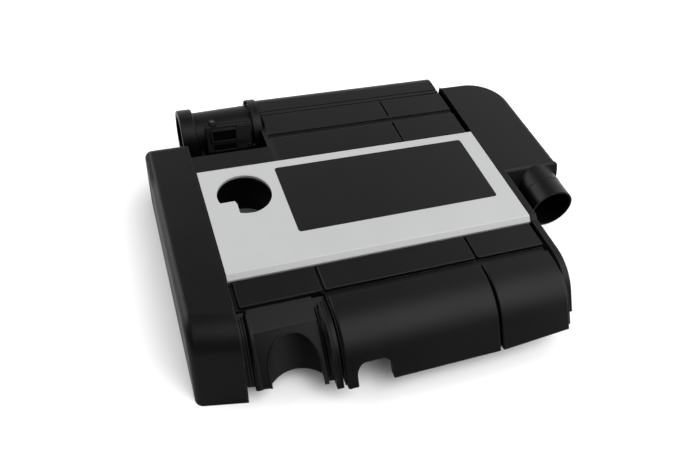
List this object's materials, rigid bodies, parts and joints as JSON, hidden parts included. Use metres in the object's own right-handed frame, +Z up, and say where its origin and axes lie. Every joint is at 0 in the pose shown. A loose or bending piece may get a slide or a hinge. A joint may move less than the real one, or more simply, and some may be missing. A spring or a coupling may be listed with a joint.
{
  "type": "engine cover",
  "caption": "Moulded engine cover with built-in air cleaner, satin trim panel with bare inlay, filler hole, rounded front bulges, plain side rail, hose inlet tube and sensor duct.",
  "frame": {"origin": "middle of the footprint, on the surface that the cover stands on", "axes": "+X along the longest side, from the plain rail to the inlet wing; +Y from the front bulges to the rear blocks; +Z up, out of the trim panel"},
  "size_m": [0.554, 0.476, 0.106],
  "materials": {
    "cover_plastic": "fine grained, matte black",
    "trim_paint": "satin silver paint on plastic",
    "badge_plastic": "fine grained, matte black",
    "duct_plastic": "smooth, matte black",
    "seal_rubber": "smooth",
    "screw_steel": "black phosphate",
    "grid_plastic": "smooth, matte black",
    "sensor_plastic": "smooth, dark grey",
    "tray_plastic": "smooth, matte black",
    "filter_rubber": "moulded foam rubber",
    "filter_paper": "pleated paper",
    "grommet_rubber": "moulded rubber"
  },
  "bodies": {
    "root": {"cover_shell": "cover_plastic", "trim_panel": "trim_paint", "badge_panel": "badge_plastic", "sensor_duct": "duct_plastic", "duct_seal": "seal_rubber", "duct_screws": "screw_steel", "flow_grid": "grid_plastic", "air_flow_sensor": "sensor_plastic", "sensor_screws": "screw_steel", "airbox_tray": "tray_plastic", "filter_rim": "filter_rubber", "filter_pleats": "filter_paper", "tray_screws": "screw_steel", "mount_grommet_front_left": "grommet_rubber", "mount_grommet_front_right": "grommet_rubber", "mount_grommet_rear_left": "grommet_rubber", "mount_grommet_rear_right": "grommet_rubber"}
  },
  "joints": []
}
